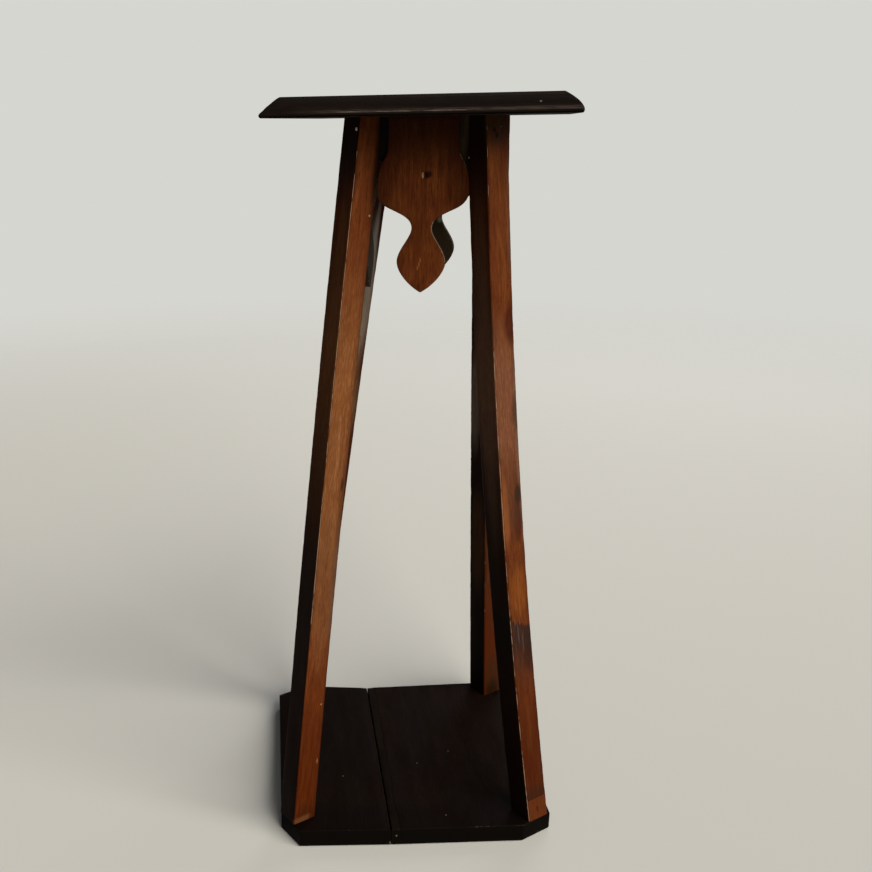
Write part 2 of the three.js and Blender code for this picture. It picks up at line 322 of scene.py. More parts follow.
def nail_mesh(corner):
    bm = turned(nail_profile(0, 0.25 * MM), ROUND_STEPS)
    return moved(bm, nail_matrix(corner), "nail")


def nail_hole(corner):
    profile = nail_profile(fit_gap, tool_overrun)
    profile[1] = (profile[1][0], -tool_overrun)
    return moved(turned(profile, ROUND_STEPS), nail_matrix(corner), "nail_hole")


def foot_screw_matrix(corner):
    foot = leg_middle(corner, 0)
    return Matrix.Translation((foot.x, foot.y, 0))


def block_screw_matrix(corner):
    return corner_frame(corner) @ Matrix.Translation((block_screw_reach, 0, block_underside))


# Legs

LEG_RINGS = 180
ARRIS_SEGMENTS = 6
WORN_BAND = 1.2 * MM
LEG_WEAR = 0.45 * MM
LEG_TOOL_RINGS = 12


def leg_blank(corner, swell, rings, wear_depth, seed):
    """A square stick with rounded arrises, that leans and bows as its corner's leg does."""
    half = leg_half + swell
    bm = box((half * 2, half * 2, leg_length))
    bmesh.ops.translate(bm, vec=(0, 0, leg_length / 2), verts=bm.verts)
    bevel(bm, [e for e in bm.edges if rise(e) > half], leg_arris, ARRIS_SEGMENTS)
    inner = half - leg_arris - WORN_BAND
    for axis in ((1, 0, 0), (0, 1, 0)):
        slice_up(bm, axis, (-inner, 0, inner))
    upright = [e for e in bm.edges if rise(e) > half]
    bmesh.ops.subdivide_edges(bm, edges=upright, cuts=rings - 1, use_grid_fill=True)

    wear = wear_layer(bm)
    turn = Matrix.Rotation(top_turn + eighth_turn, 4, "Z")
    low, high = corner["rubbed"]
    for vert in bm.verts:
        x, y, z = vert.co
        share = z / leg_length
        lean = min(abs(x), abs(y)) - (half - leg_arris)
        on_arris = ramp(-WORN_BAND, leg_arris * 0.7, lean)
        on_ridge = ramp(leg_arris * 0.42, leg_arris * 0.7, lean)
        corner_spot = Vector((math.copysign(2, x), math.copysign(2, y), seed))
        fine, coarse, slow, wavy = (
            noise.noise(corner_spot + Vector((0, 0, z * waves))) for waves in (190, 60, 9, 12)
        )
        bumps = coarse + fine * 0.6
        foremost = 0.35 if x < 0 and y < 0 and low < share < high else -0.25
        rubbed = min(max(0.45 + foremost + bumps * 0.7 + slow * 0.5, 0), 1)
        ripple = wavy * wear_depth * 0.3
        across = Vector((x, y, 0)).normalized()
        vert.co -= across * (on_arris * rubbed * wear_depth + ripple)
        vert[wear] = on_ridge * rubbed
        middle = leg_middle(corner, share)
        flat = turn @ Vector((vert.co.x, vert.co.y, 0))
        vert.co = Vector((flat.x + middle.x, flat.y + middle.y, z + base_thickness))
    return bm


def block_seat(corner):
    """The room that is pared from the head of a leg for its corner block."""
    height = block_height + fit_gap + tool_overrun
    middle = top_underside + tool_overrun - height / 2
    place = Matrix.Translation((block_outer - leg_half, 0, middle))
    room = box((leg_section, leg_section * 2, height))
    return moved(room, corner_frame(corner) @ place, "block_seat")


def leg_mesh(corner, seed):
    blank = finish_mesh(leg_blank(corner, 0, LEG_RINGS, LEG_WEAR, seed), "leg")
    cutters = [block_seat(corner), nail_hole(corner), screw_hole(foot_screw_matrix(corner))]
    return carve(blank, cutters)


# Aprons

APRON_SPANS = [
    ("head", "shoulder", (0.1, 0.15, 0.9, 0.35)),
    ("shoulder", "under", (0, 0.53, 0.33, 0.79)),
    ("under", "neck", (0.59, 0.31, 1, 0.51)),
    ("neck", "leaf", (0, 0.27, 1, 0.65)),
    ("leaf", "tip", (0, 0.39, 0.61, 0.85)),
]
APRON_CURVE_STEPS = 14
APRON_ARRIS = 0.9 * MM
APRON_GRID = 5 * MM
# Which side of an apron, by the sign of X, has a painted highlight on its arris, and the drops
# between which it runs
HIGHLIGHT_SIDE = {"apron_front": 1, "apron_back": -1}
HIGHLIGHT_DROPS = (95 * MM, 133.5 * MM)
LEFT_LEAF_GROWTH = 1.082
APRON_DENT = {
    "across": 1.7 * MM, "drop": 53 * MM, "radius": 2.2 * MM, "depth": 1.8 * MM,
    "lean": math.radians(24),
}
MERGED = 0.01 * MM


def apron_frame(angle):
    """The middle of an apron's top edge. -Y looks outwards."""
    turn = head_frame @ Matrix.Rotation(angle, 4, "Z")
    return turn @ Matrix.Translation((0, -leg_head_offset, top_underside))


def apron_side():
    """Half of the outline, from the top edge down to the tip of the leaf, as (across, drop)."""
    points = {
        "head": Vector((apron_head_width / 2, -apron_straight_drop)),
        "shoulder": Vector((apron_shoulder_width / 2, -apron_shoulder_drop)),
        "neck": Vector((apron_neck_width / 2, -apron_neck_drop)),
        "leaf": Vector((apron_leaf_width / 2, -apron_leaf_drop)),
        "tip": Vector((0, -apron_drop)),
    }
    under_shares = Vector((0.4, 0.52))
    fall = points["neck"] - points["shoulder"]
    points["under"] = points["shoulder"] + fall * under_shares
    side = [Vector((apron_head_width / 2, 0)), points["head"]]
    for start, end, shares in APRON_SPANS:
        span = points[end] - points[start]
        first = points[start] + span * Vector(shares[:2])
        second = points[start] + span * Vector(shares[2:])
        curve = geometry.interpolate_bezier(
            points[start].to_3d(), first.to_3d(), second.to_3d(), points[end].to_3d(),
            APRON_CURVE_STEPS + 1,
        )
        side += [point.to_2d() for point in curve[1:]]
    return side


def dent_tool(place):
    """A blunt cone that leans to the right, as something that was once driven in left it."""
    radius, depth = APRON_DENT["radius"], APRON_DENT["depth"]
    profile = [
        (0, -depth), (radius * 0.45, -depth * 0.9), (radius, 0), (radius * 1.2, depth), (0, depth),
    ]
    lean = Matrix.Rotation(quarter_turn, 4, "X") @ Matrix.Rotation(APRON_DENT["lean"], 4, "Y")
    spot = Matrix.Translation((APRON_DENT["across"], -apron_thickness, -APRON_DENT["drop"]))
    return moved(turned(profile, 12), place @ spot @ lean, "dent")


def apron_mesh(name, angle, seed):
    bm = bmesh.new()
    points = [bm.verts.new((p.x, 0, p.y)) for p in apron_side()]
    edges = [bm.edges.new(pair) for pair in zip(points, points[1:])]
    bmesh.ops.mirror(bm, geom=points + edges, axis="X", merge_dist=MERGED)
    bmesh.ops.remove_doubles(bm, verts=bm.verts, dist=MERGED)
    left = min(bm.verts, key=lambda v: (-v.co.z, v.co.x))
    right = min(bm.verts, key=lambda v: (-v.co.z, -v.co.x))
    bm.edges.new((left, right))
    bmesh.ops.contextual_create(bm, geom=list(bm.edges))
    thicken(bm, (0, -apron_thickness, 0))
    rim = [e for e in bm.edges if abs(e.verts[0].co.y - e.verts[1].co.y) < apron_thickness / 2]
    bevel(bm, rim, APRON_ARRIS, 2)
    slice_up(bm, (1, 0, 0), [step * APRON_GRID for step in range(-8, 9)])
    slice_up(bm, (0, 0, 1), [-step * APRON_GRID for step in range(1, 33)])

    wear = wear_layer(bm)
    for vert in bm.verts:
        edge_on = abs(abs(vert.co.y + apron_thickness / 2) - apron_thickness / 2)
        spot = vert.co * 60 + Vector((seed, 0, 0))
        rough = max(noise.noise(spot) * 0.8 + 0.35, 0)
        on_arris = MERGED < edge_on < APRON_ARRIS * 0.6
        # On that side, between those drops, the arris is fully pale: a painted highlight. Elsewhere
        # the arrises wear pale at random.
        facing_light = vert.co.x * HIGHLIGHT_SIDE.get(name, 0) > 0
        neck_highlight = facing_light and HIGHLIGHT_DROPS[0] < -vert.co.z < HIGHLIGHT_DROPS[1]
        rubbed = 1 if neck_highlight else min(rough, 0.7)
        vert[wear] = rubbed if on_arris else 0
        cup = (vert.co.x / apron_shoulder_width) ** 2 * 0.8 * MM
        ripple = noise.noise(vert.co * 28 + Vector((seed, 3, 0))) * 0.12 * MM
        vert.co.y += cup + ripple if abs(vert.co.z) > apron_straight_drop else 0
        if name == "apron_left" and -vert.co.z > apron_neck_drop:
            vert.co.z = (vert.co.z + apron_neck_drop) * LEFT_LEAF_GROWTH - apron_neck_drop
    place = apron_frame(angle)
    board = moved(bm, place, "apron")
    tools = [
        finish_mesh(leg_blank(corner, fit_gap, LEG_TOOL_RINGS, 0, 0), "leg_tool")
        for corner in CORNERS.values()
    ]
    if name == "apron_front":
        tools.append(dent_tool(place))
    return carve(board, tools)


# Corner blocks

BLOCK_ARRIS = 0.6 * MM


def block_mesh(corner):
    outer = block_outer - fit_gap
    inner = block_outer - block_thickness
    flank = (leg_head_offset - fit_gap) * math.sqrt(2)
    bm = bmesh.new()
    outline = [
        (outer, outer - flank), (outer, flank - outer),
        (inner, flank - inner), (inner, inner - flank),
    ]
    base = [bm.verts.new((x, y, block_underside)) for x, y in outline]
    bmesh.ops.contextual_create(bm, geom=base)
    thicken(bm, (0, 0, block_height))
    low = [e for e in bm.edges if min(v.co.z for v in e.verts) < block_underside + tool_overrun]
    bevel(bm, low, BLOCK_ARRIS, 2)
    block = moved(bm, corner_frame(corner), "block")
    return carve(block, [screw_hole(block_screw_matrix(corner)), nail_hole(corner)])


# Base boards and the dowels across their seam

BASE_ARRIS = 1.0 * MM
BASE_GRID = 10 * MM
SEAM_VALLEY = {"depth": 0.9 * MM, "width": 9 * MM, "sway": 5 * MM}
DOWEL = {"radius": 4 * MM, "length": 50 * MM, "pitch": 90 * MM, "chamfer": 1 * MM}
DOWEL_ROWS = (-DOWEL["pitch"], 0, DOWEL["pitch"])
seam_x = (narrow_high.x + wide_low.x) / 2


def sawn_point(corner, start, end):
    """Where a straight side of the base meets the corner that is sawn flush with a leg's face."""
    angle = corner["angle"] + top_turn
    out = Vector((math.cos(angle), math.sin(angle)))
    reach = out.dot(leg_middle(corner, 0).to_2d()) + leg_half
    return start.lerp(end, (reach - out.dot(start)) / (out.dot(end) - out.dot(start)))


def full_corner(corner):
    """The base's corner before it is sawn off."""
    x, y = corner["side"]
    past_side, past_end = corner["base_overrun"]
    return Vector((x * (base_half + past_side), y * (base_half + past_end)))


def dowel_mesh(row, swell):
    bm = bmesh.new()
    radius = DOWEL["radius"] + swell
    bmesh.ops.create_cone(
        bm, cap_ends=True, segments=ROUND_STEPS, radius1=radius, radius2=radius,
        depth=DOWEL["length"] + swell * 2,
    )
    if swell == 0:
        bevel(bm, [e for e in bm.edges if rise(e) < MERGED], DOWEL["chamfer"], 1)
    place = Matrix.Translation((seam_x, row, base_thickness / 2))
    return moved(bm, place @ Matrix.Rotation(quarter_turn, 4, "Y"), "dowel")


def base_board_mesh(seam, front, back, seed):
    """One board of the base: its seam side is straight, and its two outer corners are sawn off.
    Old boards cup, so the top falls away into a shallow valley along the seam."""
    seam_front = Vector((seam, -base_half - overrun_front_seam))
    seam_back = Vector((seam, base_half + overrun_back_seam))
    front_corner, back_corner = full_corner(front), full_corner(back)
    outline = [
        seam_front,
        sawn_point(front, seam_front, front_corner),
        sawn_point(front, back_corner, front_corner),
        sawn_point(back, front_corner, back_corner),
        sawn_point(back, seam_back, back_corner),
        seam_back,
    ]
    bm = bmesh.new()
    base = [bm.verts.new((point.x, point.y, 0)) for point in outline]
    bmesh.ops.contextual_create(bm, geom=base)
    thicken(bm, (0, 0, base_thickness))
    low = [e for e in bm.edges if all(v.co.z < base_thickness / 2 for v in e.verts)]
    bevel(bm, low, base_under_arris, 5)
    high = [e for e in bm.edges if all(v.co.z > base_thickness - BASE_ARRIS / 2 for v in e.verts)]
    bevel(bm, high, BASE_ARRIS, 3)
    count = int(base_half / BASE_GRID) + 1
    steps = [step * BASE_GRID for step in range(-count, count + 1)]
    slice_up(bm, (1, 0, 0), steps + [seam_x + step * BASE_GRID / 5 for step in range(-8, 9)])
    slice_up(bm, (0, 1, 0), steps)

    wear = wear_layer(bm)
    for vert in bm.verts:
        above = base_thickness - vert.co.z
        on_edge = 0.05 * MM < above < BASE_ARRIS * 0.95
        spot = vert.co * 50 + Vector((0, 0, seed))
        rough = max(noise.noise(spot) * 0.8 + 0.3, 0)
        vert[wear] = min(rough, 0.5) if on_edge else 0
        if on_edge:
            vert.co.z -= rough * 0.35 * MM
        sway = noise.noise(Vector((7.7, vert.co.y * 9, 0))) * SEAM_VALLEY["sway"]
        off_seam = abs(vert.co.x - seam_x - sway) / SEAM_VALLEY["width"]
        ripple = noise.noise(vert.co * 14 + Vector((seed, 0, 0))) * 0.15 * MM
        if above < BASE_ARRIS:
            fall = SEAM_VALLEY["depth"] * (1 - ramp(0, 1, off_seam)) + abs(ripple)
            clear_of_legs = 1 - ramp(0.6, 0.75, abs(vert.co.x - seam_x) / base_half)
            vert.co.z -= fall * clear_of_legs
    board = finish_mesh(bm, "base_board")
    cutters = [dowel_mesh(row, fit_gap) for row in DOWEL_ROWS]
    cutters += [screw_hole(foot_screw_matrix(corner)) for corner in (front, back)]
    return carve(board, cutters)


# Top board

TOP_CURVE_STEPS = 16
UNDER_STEPS = 6
TOP_GRID = 8 * MM
TOP_ARRIS = 0.8 * MM
WORN_LINE = {"above_band": 1.75 * MM, "width": 1.1 * MM}
TIP_WEAR = {"front_left": 3 * MM, "others": 0.4 * MM, "reach": 18 * MM}
UNDER_ROUND = 1.8 * MM
top_place = head_frame @ Matrix.Translation((0, 0, top_underside))


def top_mesh(seed):
    """The round-over is grown ring by ring from the underside, so that it meets in mitres. The
    lower edge has worn round too, with a pale line above it where the polish is rubbed through."""
    half = top_width / 2
    thickness = top_surface - top_underside
    band = thickness - round_over_height
    start = Vector((half, band))
    crown = Vector((half - round_over_width, thickness))
    bulge = Vector((half, band + round_over_height * round_over_bulge_share))
    profile = []
    for step in range(1, UNDER_STEPS + 1):
        turn = quarter_turn * step / UNDER_STEPS
        reach = half - UNDER_ROUND * (1 - math.sin(turn))
        profile.append(Vector((reach, band * (1 - math.cos(turn)))))
    for step in range(1, TOP_CURVE_STEPS + 1):
        share = step / TOP_CURVE_STEPS
        profile.append(start.lerp(bulge, share).lerp(bulge.lerp(crown, share), share))
    bm = bmesh.new()
    bmesh.ops.create_grid(bm, x_segments=1, y_segments=1, size=half - UNDER_ROUND)
    faces = list(bm.faces)
    for point in profile:
        # Only faces are named, so the operator leaves each ring's old face inside the board
        grown = bmesh.ops.extrude_face_region(bm, geom=faces)
        faces = [f for f in grown["geom"] if isinstance(f, bmesh.types.BMFace)]
        for vert in (v for v in grown["geom"] if isinstance(v, bmesh.types.BMVert)):
            vert.co.x = math.copysign(point.x, vert.co.x)
            vert.co.y = math.copysign(point.x, vert.co.y)
            vert.co.z = point.y
    bmesh.ops.recalc_face_normals(bm, faces=bm.faces)
    mitres = [
        e for e in bm.edges
        if all(abs(abs(v.co.x) - abs(v.co.y)) < MERGED for v in e.verts)
    ]
    bevel(bm, mitres, TOP_ARRIS * 0.6, 2)
    count = int(half / TOP_GRID)
    for axis in ((1, 0, 0), (0, 1, 0)):
        slice_up(bm, axis, [step * TOP_GRID for step in range(-count, count + 1)])

    wear = wear_layer(bm)
    for vert in bm.verts:
        x, y, z = vert.co
        spot = vert.co * 45 + Vector((seed, 0, 0))
        rough = max(noise.noise(spot) * 0.9 + noise.noise(spot * 2.7) * 0.4 + 0.3, 0)
        outer = max(abs(x), abs(y))
        on_band = ramp(half - 2 * TOP_ARRIS, half, outer) * (1 - ramp(band, band + 4 * MM, z))
        on_line = 1 - ramp(0, WORN_LINE["width"], abs(z - band - WORN_LINE["above_band"]))
        on_crown = 1 - ramp(0, 2 * MM, abs(outer - crown.x) + abs(z - thickness))
        tip = "front_left" if x < 0 and y < 0 else "others"
        at_tip = ramp(TIP_WEAR["reach"], 0, abs(abs(x) - abs(y)))
        at_tip *= ramp(crown.x - MM, crown.x + 4 * MM, outer)
        flattened = ramp(band, band + 5 * MM, z) * ramp(thickness, thickness - 7 * MM, z)
        along_front = ramp(-115 * MM, -60 * MM, x) * ramp(80 * MM, 30 * MM, x)
        rubbed = along_front if y < crown.x - half else 0.3
        vert[wear] = min(on_line * (rough * 0.6 + rubbed * 0.55) + on_crown * rough * 0.4, 1)
        inward = on_band * rough * 0.3 * MM + at_tip * flattened * TIP_WEAR[tip]
        vert.co -= Vector((x, y, 0)).normalized() * inward
    board = moved(bm, top_place, "top")
    return carve(board, [screw_hole(block_screw_matrix(corner)) for corner in CORNERS.values()])


# Colours and nodes


def linear(code):
    """A six-figure sRGB colour as linear red, green, blue and alpha."""
    shares = [int(code[i:i + 2], 16) / 255 for i in (0, 2, 4)]
    return [s / 12.92 if s <= 0.04045 else ((s + 0.055) / 1.055) ** 2.4 for s in shares] + [1]


def add(tree, kind, settings=None, links=None):
    """Adds a node. Links are its inputs: another node's socket, or a plain value."""
    made = tree.nodes.new(kind)
    for key, value in (settings or {}).items():
        setattr(made, key, value)
    for key, value in (links or {}).items():
        if isinstance(value, bpy.types.NodeSocket):
            tree.links.new(value, made.inputs[key])
        else:
            made.inputs[key].default_value = value
    return made


def new_material(name):
    material = bpy.data.materials.new(name)
    material.use_nodes = True
    tree = material.node_tree
    tree.nodes.clear()
    shader = add(tree, "ShaderNodeBsdfPrincipled")
    add(tree, "ShaderNodeOutputMaterial", {}, {"Surface": shader.outputs[0]})
    return material, tree, shader


def blended(tree, share, first, second):
    """Two colours mixed by a share."""
    links = {0: share, 6: first, 7: second}
    return add(tree, "ShaderNodeMix", {"data_type": "RGBA"}, links).outputs[2]


def spread(tree, value, low, high, to_low=0.0, to_high=1.0):
    """A value taken smoothly from one range to another, and held at its ends."""
    links = {"Value": value, "From Min": low, "From Max": high, "To Min": to_low, "To Max": to_high}
    smooth = {"interpolation_type": "SMOOTHSTEP"}
    return add(tree, "ShaderNodeMapRange", smooth, links).outputs["Result"]


def calc(tree, operation, *values):
    return add(tree, "ShaderNodeMath", {"operation": operation}, dict(enumerate(values))).outputs[0]


def product(tree, *values):
    result = values[0]
    for value in values[1:]:
        result = calc(tree, "MULTIPLY", result, value)
    return result


def part(tree, place, axis):
    return add(tree, "ShaderNodeSeparateXYZ", {}, {0: place}).outputs[axis]


def streaks(tree, place, across_mm, along_mm, detail=3.0, seed=0.0):
    """Noise drawn out along the grain: so wide across it, and so long along it."""
    scaled = add(
        tree, "ShaderNodeMapping", {},
        {"Vector": place, "Location": (seed, seed * 0.7, seed * 1.3),
         "Scale": (1 / across_mm, 1 / across_mm, 1 / along_mm)},
    )
    links = {"Vector": scaled.outputs[0], "Scale": 1.0, "Detail": detail, "Roughness": 0.55}
    return add(tree, "ShaderNodeTexNoise", {}, links).outputs["Fac"]


def near(tree, place, centre, radii, fade=0.6):
    """1 at a place given in millimetres in the piece's own frame, and 0 outside its radii."""
    scale = [1 / r for r in radii]
    offset = [-c / r for c, r in zip(centre, radii)]
    links = {"Vector": place, "Location": offset, "Scale": scale}
    scaled = add(tree, "ShaderNodeMapping", {}, links)
    length = add(tree, "ShaderNodeVectorMath", {"operation": "LENGTH"}, {0: scaled.outputs[0]})
    return spread(tree, length.outputs["Value"], 1 - fade, 1, 1, 0)


def grain_frame(tree, matrix):
    """Millimetres in a piece's own frame, whose Z runs along the grain."""
    at = add(tree, "ShaderNodeTexCoord").outputs["Object"]
    links = {"Vector": at, "Location": matrix.to_translation(), "Rotation": matrix.to_euler(),
             "Scale": (MM, MM, MM)}
    return add(tree, "ShaderNodeMapping", {"vector_type": "TEXTURE"}, links).outputs[0]


def leg_frame(tree, corner):
    """Millimetres along a bowed, leaning leg as if it were straight and upright: Z up from its
    foot, and X square to its outer face."""
    foot, head = leg_middle(corner, 0), leg_middle(corner, 1)
    at = add(tree, "ShaderNodeTexCoord").outputs["Object"]
    parts = add(tree, "ShaderNodeSeparateXYZ", {}, {0: at}).outputs
    height = calc(tree, "SUBTRACT", parts[2], base_thickness)
    share = calc(tree, "DIVIDE", height, leg_length)
    bend = product(tree, share, calc(tree, "SUBTRACT", 1.0, share))
    along_x = calc(tree, "MULTIPLY_ADD", share, head.x - foot.x, foot.x)
    middle_x = calc(tree, "MULTIPLY_ADD", bend, corner["bow"] * 4, along_x)
    middle_y = calc(tree, "MULTIPLY_ADD", share, head.y - foot.y, foot.y)
    off_x = calc(tree, "SUBTRACT", parts[0], middle_x)
    off_y = calc(tree, "SUBTRACT", parts[1], middle_y)
    straight = add(tree, "ShaderNodeCombineXYZ", {}, {0: off_x, 1: off_y, 2: height}).outputs[0]
    turn = (0, 0, corner["angle"] + top_turn)
    links = {"Vector": straight, "Rotation": turn, "Scale": (MM, MM, MM)}
    return add(tree, "ShaderNodeMapping", {"vector_type": "TEXTURE"}, links).outputs[0]


MAHOGANY = {
    "dark": "451f0d", "mid": "603014", "light": "78451f", "pore": "260f08", "worn": "b69a82",
    "roughness": (0.5, 0.66), "ribbon_mm": 6, "shine": 0.03,
}
DARK_MAHOGANY = {
    "dark": "0f0705", "mid": "180e09", "light": "22140e", "pore": "080403", "worn": "847a72",
    "roughness": (0.55, 0.72), "ribbon_mm": 12, "shine": 0.03,
}


def tint(state, code, *shares):
    """Lays a colour over a wood by a share, or by the product of several."""
    tree = state["tree"]
    state["colour"] = blended(tree, product(tree, *shares), state["colour"], linear(code))


def wood(name, look, seed, matrix=None, corner=None):
    """Planed wood under an old polish: faint ribbon stripes, short fibres, and open pores drawn
    about three times as wide as real ones, so that they show. The finish has darkened in
    patches."""
    material, tree, shader = new_material(name)
    place = leg_frame(tree, corner) if corner else grain_frame(tree, matrix)
    drift = streaks(tree, place, 30, 200, 1.0, seed)
    bent = add(
        tree, "ShaderNodeVectorMath", {"operation": "MULTIPLY_ADD"},
        {0: drift, 1: (8.0, 8.0, 0.0), 2: place},
    ).outputs[0]
    ribbon = streaks(tree, bent, look["ribbon_mm"], 170, 2.0, seed + 3)
    mottle = streaks(tree, bent, 7, 26, 3.0, seed + 5)
    fibre = streaks(tree, bent, 1.0, 15, 3.0, seed + 7)
    pores = spread(tree, streaks(tree, bent, 0.9, 8, 2.0, seed + 11), 0.57, 0.68)
    patina = streaks(tree, place, 24, 90, 3.0, seed + 17)

    figure = calc(tree, "MULTIPLY_ADD", ribbon, 0.3, product(tree, mottle, 0.3))
    figure = calc(tree, "MULTIPLY_ADD", fibre, 0.4, figure)
    tone = spread(tree, figure, 0.32, 0.52)
    colour = blended(tree, tone, linear(look["dark"]), linear(look["mid"]))
    colour = blended(tree, spread(tree, figure, 0.48, 0.7), colour, linear(look["light"]))
    state = {
        "material": material, "tree": tree, "shader": shader, "place": place, "colour": colour,
        "bent": bent, "fibre": fibre, "pores": pores, "patina": patina, "look": look,
    }
    tint(state, look["pore"], pores, 0.45)
    tint(state, look["dark"], spread(tree, patina, 0.48, 0.32, 0, 0.4))
    return state


def finish_wood(state):
    """Rubs the arrises through to pale wood where the wear attribute marks them; on the aprons'
    necks this pale is a painted highlight. Joins colour, gloss and relief to the shader.
    """
    tree, shader, look = state["tree"], state["shader"], state["look"]
    wear = add(tree, "ShaderNodeAttribute", {"attribute_name": "wear"}).outputs["Fac"]
    scuffs = streaks(tree, state["place"], 1.2, 6, 3.0, 23.0)
    rubbed = spread(tree, calc(tree, "MULTIPLY_ADD", scuffs, 0.6, wear), 0.75, 1.05, 0, 0.7)
    colour = blended(tree, rubbed, state["colour"], linear(look["worn"]))
    low, high = look["roughness"]
    gloss = spread(tree, state["patina"], 0.35, 0.7, low, high)
    gloss = calc(tree, "MULTIPLY_ADD", rubbed, 0.2, gloss)
    relief = calc(tree, "MULTIPLY_ADD", state["pores"], -0.8, state["fibre"])
    links = {"Strength": 0.3, "Distance": 0.2 * MM, "Height": relief}
    bump = add(tree, "ShaderNodeBump", {}, links)
    tree.links.new(colour, shader.inputs["Base Color"])
    tree.links.new(gloss, shader.inputs["Roughness"])
    tree.links.new(bump.outputs[0], shader.inputs["Normal"])
    shader.inputs["Specular IOR Level"].default_value = look["shine"]
    return state["material"]


def spot_of(state, centre, radii, fade=0.6):
    """A share that is 1 at a mark on a piece, with ragged edges."""
    tree = state["tree"]
    ragged = add(
        tree, "ShaderNodeVectorMath", {"operation": "MULTIPLY_ADD"},
        {0: state["patina"], 1: (6.0, 6.0, 12.0), 2: state["place"]},
    ).outputs[0]
    shifted = [c + s for c, s in zip(centre, (3.0, 3.0, 6.0))]
    return near(tree, ragged, shifted, radii, fade)


# Marks on the legs' faces, in millimetres across and up in each leg's frame: the face, the middle
# of the mark, its size, how much of it covers the wood, and its colour
LEG_MARKS = {
    "front_right": [
        ("out", -9.5, 330, 6, 50, 0.42, "965930"),
        ("out", 12, 385, 5, 120, 0.3, "806a58"),
        ("out", 12, 610, 5, 80, 0.12, "806a58"),
        ("out", 0, 698, 22, 34, 0.8, "2a2016"),
        ("out", -3.8, 689.6, 2.6, 3, 0.85, "100705"),
        ("out", -1.5, 685, 3, 3.6, 0.8, "140806"),
        ("out", 8.5, 514, 10, 26, 0.75, "330f08"),
        ("out", 12, 427, 8, 28, 0.7, "33261c"),
        ("out", 7.4, 346, 5.6, 15, 0.85, "18100a"),
        ("out", 5, 320, 8, 28, 0.6, "2e110c"),
        ("out", -12.8, 224, 3, 3.6, 0.8, "1a0a06"),
        ("out", -1.3, 9, 1.8, 4.5, 0.8, "2a1008"),
        ("out", 6, 178, 7, 17, 0.5, "2a120c"),
        ("out", -4.5, 205, 1.6, 15, 0.18, "8a7468"),
        ("out", 1, 194, 1.1, 14, 0.12, "8a7468"),
        ("out", 0, 250, 16, 32, 0.2, "9a5a20"),
        ("out", 0, 343, 16, 50, 0.25, "4a3a30"),
        ("right", 0, 460, 16, 210, 0.18, "6b5a4a"),
        # A tiny pale dot: a painted glint, as off a pin head.
        ("right", -11.2, 665, 0.8, 1.1, 0.9, "d0c8ba"),
    ],
    "front_left": [
        ("left", 8.9, 612.7, 1.1, 1.4, 0.8, "c8a888"),
        ("left", 9.6, 353, 2.2, 9, 0.75, "2a140b"),
        ("left", 8.6, 125, 1, 1.6, 0.8, "b98a58"),
        ("left", 10.3, 61.5, 0.7, 4, 0.5, "b98a58"),
        ("left", 0, 4, 16, 20, 0.45, "2a1408"),
        ("left", -4, 3, 14, 6, 0.22, "94683f"),
        # A dark band by the back arris of the pale face: painted shade.
        ("left", 10.5, 300, 5, 130, 0.5, "3a2016"),
        ("left", 0, 250, 20, 110, 0.13, "7c6a4b"),
        ("left", 11, 250, 5, 80, 0.08, "8a7a6a"),
        ("left", 0.5, 385, 3, 50, 0.16, "a87850"),
        ("left", 5.5, 400, 2.5, 70, 0.22, "52280f"),
        ("left", 6, 343, 4, 10, 0.35, "4a2814"),
        ("left", 1, 525, 12, 44, 0.16, "52280f"),
        ("out", 2, 545, 11, 110, 0.15, "6b4a33"),
    ],
    "back_left": [
        ("in", 6, 560, 5, 70, 0.7, "b0a8a0"),
        ("in", 2, 520, 16, 100, 0.8, "837769"),
        ("in", 0, 395, 16, 60, 0.35, "7a6248"),
    ],
    "back_right": [
        ("in", -6, 395, 12, 80, 0.52, "6f6152"),
        ("in", 0, 215, 16, 90, 0.2, "6b431a"),
        ("right", 0, 20, 16, 50, 0.7, "2e1a08"),
        ("right", 0, 0, 16, 32, 0.7, "140a04"),
    ],
}
# Small pale chips on the base boards, in the frame of their grain
lengthwise = Matrix.Rotation(-quarter_turn, 4, "X")
BASE_SPOTS = [
    (14.9, -20, -35.2), (-70.6, -20, -57.3), (53.8, -20, -12.9), (32.8, -20, -128),
    (-21.5, -12, -149.5), (-28.1, -4, -149.5),
]
TOP_CHIP = (-9.5, -134, 103)
FACES = {"out": (1, 0), "left": (0, 1), "in": (-1, 0), "right": (0, -1)}
WINDOW_SIDE = CORNERS["front_right"]["angle"]
BLEACHED = {
    "front_left": ((230, 370, 470, 600), "80532f"),
    "front_right": ((350, 410, 460, 540), "7c5440"),
}
SPLICE_HEIGHT = 23.6
SCORCH_TOP = 216
LEG_FACE = leg_half / MM
# How far inside a leg's face its colour starts to fade, and has gone, as its arris turns away
FACE_FADE = (0.7, 1.7)
# The front left leg's pale face stops this much nearer to its arrises
FRONT_LEFT_SHORT = 0.6
MARK_DEPTH = 5
# Where the aprons' outer and dusty inner sides meet, as a depth behind the outer face
APRON_INSIDE = (1.4, 2.2)


def along(state, facing):
    """How far a place is in one direction, in the piece's own frame."""
    links = {0: state["place"], 1: facing}
    kind = {"operation": "DOT_PRODUCT"}
    return add(state["tree"], "ShaderNodeVectorMath", kind, links).outputs["Value"]


def face_of(state, facing, short=0.0):
    """1 on one face of a leg, and 0 on the others. It may stop short of the arrises."""
    edge = LEG_FACE + short
    return spread(state["tree"], along(state, facing), edge - FACE_FADE[1], edge - FACE_FADE[0])


def stretch(tree, height, low, full, still, high):
    """1 between two heights, and fading to 0 at a lower and a higher one."""
    return product(tree, spread(tree, height, low, full), spread(tree, height, high, still))


def distance_to(tree, value, line):
    return calc(tree, "ABSOLUTE", calc(tree, "SUBTRACT", value, line))


